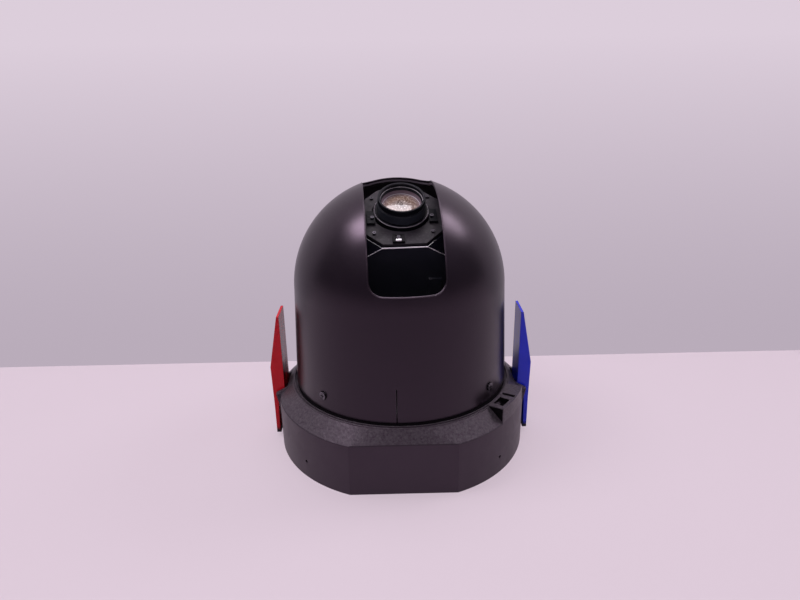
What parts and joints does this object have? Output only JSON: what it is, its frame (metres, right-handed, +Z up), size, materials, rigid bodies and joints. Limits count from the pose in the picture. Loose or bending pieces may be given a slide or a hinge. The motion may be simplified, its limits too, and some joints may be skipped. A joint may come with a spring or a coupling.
{
  "type": "ptz camera",
  "caption": "Dome camera drive: round base with red and blue quick release levers, panning domed drum, and a tilting zoom camera behind the slot in the dome.",
  "frame": {"origin": "on the pan axis, in the plane that the base stands on", "axes": "+Z up along the pan axis, -Y towards the front flat and the lens, +X towards the blue lever"},
  "size_m": [0.1694, 0.1549, 0.1692],
  "materials": {
    "base_plastic": "moulded, fine grain",
    "drum_plastic": "satin black",
    "red_plastic": "glossy",
    "blue_plastic": "glossy",
    "camera_plastic": "satin",
    "face_plastic": "fine matt",
    "lens_black": "black anodised",
    "glass": "coated",
    "steel": "bright zinc",
    "black_steel": "black oxide",
    "brass": "plain",
    "aluminium": "satin",
    "gear_plastic": "moulded acetal",
    "chassis_plastic": "moulded",
    "board": "solder mask",
    "sensor": "glossy",
    "connector": "moulded"
  },
  "bodies": {
    "base": {"base_housing": "base_plastic", "base_plate": "chassis_plastic", "base_plate_screws": "steel", "main_board": "board", "main_board_screws": "steel", "base_connector": "connector", "contact_pads": "brass", "pan_motor": "aluminium", "pan_motor_screws": "steel", "outer_race": "steel", "bearing_balls": "steel", "slip_ring_stator": "chassis_plastic", "latch_pins": "black_steel", "latch_springs": "steel"},
    "red_latch": {"red_latch": "red_plastic"},
    "blue_latch": {"blue_latch": "blue_plastic"},
    "pan_drive": {"pan_shaft": "steel", "pan_pinion": "brass"},
    "pan": {"drum_shell": "drum_plastic", "drum_screws": "black_steel", "turntable": "chassis_plastic", "pan_gear": "gear_plastic", "pan_gear_screws": "steel", "inner_race": "steel", "slip_ring_rotor": "brass", "left_yoke": "chassis_plastic", "right_yoke": "chassis_plastic", "yoke_screws": "steel", "tilt_bushes": "brass", "tilt_motor": "aluminium", "tilt_motor_screws": "steel", "drive_board": "board", "drive_board_screws": "steel"},
    "tilt_drive": {"tilt_shaft": "steel", "tilt_pinion": "brass"},
    "tilt": {"camera_housing": "camera_plastic", "rear_cover": "camera_plastic", "rear_cover_screws": "steel", "face_plate": "face_plastic", "face_screws": "black_steel", "lens_barrel": "lens_black", "lens_screws": "black_steel", "front_ring": "lens_black", "front_lens": "glass", "face_clip": "face_plastic", "guide_rods": "steel", "sensor_board": "board", "image_sensor": "sensor", "lens_motors": "aluminium", "left_trunnion": "aluminium", "right_trunnion": "aluminium", "trunnion_screws": "steel", "tilt_gear": "gear_plastic"},
    "zoom": {"zoom_carrier": "lens_black", "zoom_lens": "glass"},
    "focus": {"focus_carrier": "lens_black", "focus_lens": "glass"}
  },
  "joints": [
    {"name": "pan", "type": "hinge", "parent": "base", "child": "pan", "pos_m": [0, 0, 0], "axis": [0, 0, 1], "continuous": true},
    {"name": "pan_drive", "type": "hinge", "parent": "base", "child": "pan_drive", "pos_m": [0, 0.0491, 0], "axis": [0, 0, 1], "continuous": true},
    {"name": "tilt", "type": "hinge", "parent": "pan", "child": "tilt", "pos_m": [0, 0, 0.133], "axis": [-0.9979, -0.0645, 0], "range_deg": [-64, 26]},
    {"name": "tilt_drive", "type": "hinge", "parent": "pan", "child": "tilt_drive", "pos_m": [0, 0, 0.1057], "axis": [-0.9979, -0.0645, 0], "range_deg": [-75, 180]},
    {"name": "red_latch", "type": "hinge", "parent": "base", "child": "red_latch", "pos_m": [-0.0795, 0, 0.0325], "axis": [0, 1, 0], "range_deg": [0, 8], "stiffness_Nm_per_rad": 0.6, "springref_deg": -5.73},
    {"name": "blue_latch", "type": "hinge", "parent": "base", "child": "blue_latch", "pos_m": [0.0795, 0, 0.0325], "axis": [0, -1, 0], "range_deg": [0, 8], "stiffness_Nm_per_rad": 0.6, "springref_deg": -5.73},
    {"name": "zoom", "type": "slide", "parent": "tilt", "child": "zoom", "axis": [0.0283, -0.4375, 0.8988], "range_m": [0, 0.009]},
    {"name": "focus", "type": "slide", "parent": "tilt", "child": "focus", "axis": [0.0283, -0.4375, 0.8988], "range_m": [-0.002, 0.002]}
  ],
  "couplings": [
    {"joint": "pan_drive", "follows": "pan", "ratio": -4.4444},
    {"joint": "tilt_drive", "follows": "tilt", "ratio": -2.7778}
  ]
}
